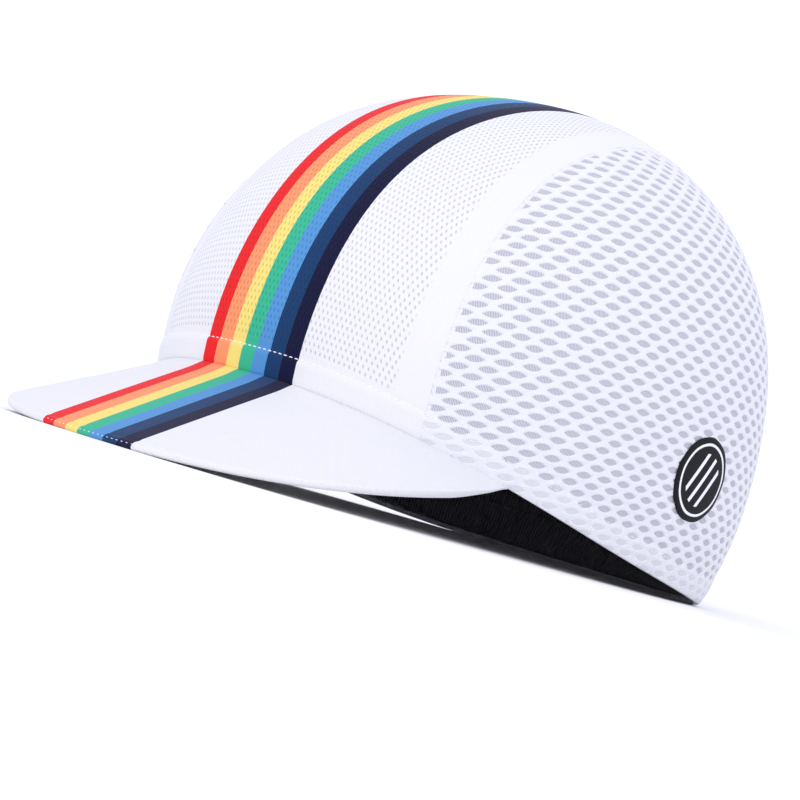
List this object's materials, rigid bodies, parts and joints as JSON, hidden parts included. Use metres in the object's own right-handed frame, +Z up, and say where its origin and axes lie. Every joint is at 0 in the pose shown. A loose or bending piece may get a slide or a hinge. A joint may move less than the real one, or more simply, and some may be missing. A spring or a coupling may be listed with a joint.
{
  "type": "cycling cap",
  "caption": "Short-peaked cycling cap with a striped knit centre panel, eyelet-mesh side panels, a dark elastic sweatband and a round side badge.",
  "frame": {"origin": "centre of the box's base, on the surface the cap stands on", "axes": "+Z up, -Y the way the peak points, +X to the wearer's left"},
  "size_m": [0.1772, 0.2472, 0.141],
  "materials": {
    "knit": "fine white pinhole knit with seven colour stripes",
    "mesh_left": "white eyelet mesh",
    "mesh_right": "white eyelet mesh",
    "peak_cloth": "fine white weave with seven colour stripes",
    "elastic": "black ribbed elastic",
    "badge_print": "matt black print"
  },
  "bodies": {
    "root": {"centre_panel": "knit", "left_side_panel": "mesh_left", "right_side_panel": "mesh_right", "peak": "peak_cloth", "sweatband": "elastic", "badge": "badge_print"}
  },
  "joints": []
}
